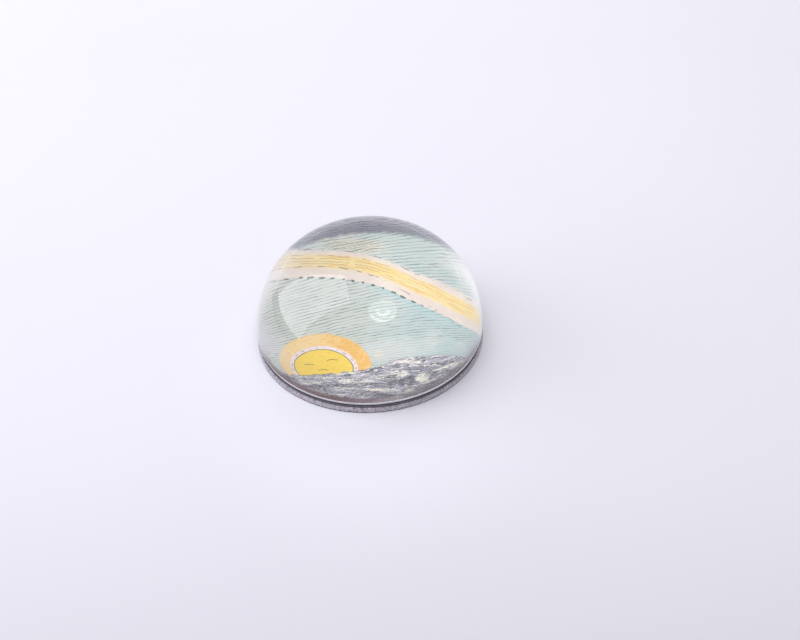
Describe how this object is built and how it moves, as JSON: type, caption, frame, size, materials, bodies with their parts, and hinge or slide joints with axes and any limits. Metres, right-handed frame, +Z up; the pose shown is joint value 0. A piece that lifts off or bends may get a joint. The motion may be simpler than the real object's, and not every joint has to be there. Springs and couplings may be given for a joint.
{
  "type": "dome paperweight",
  "caption": "Clear glass dome paperweight magnifying a printed paper disc, on a grey felt pad.",
  "frame": {"origin": "centre of the felt pad's underside, where the paperweight stands", "axes": "+Z up through the top of the dome; -Y is the front, the lower edge of the picture, and +X its right"},
  "size_m": [0.0812, 0.0812, 0.0408],
  "materials": {
    "glass": "polished",
    "clear_glue": "gloss",
    "printed_paper": "matte",
    "backing_card": "matte",
    "adhesive": "satin",
    "felt": "matte"
  },
  "bodies": {
    "root": {"glass_dome": "glass", "glue_film": "clear_glue", "picture_print": "printed_paper", "backing_card": "backing_card", "pad_adhesive": "adhesive", "felt_pad": "felt"}
  },
  "joints": []
}
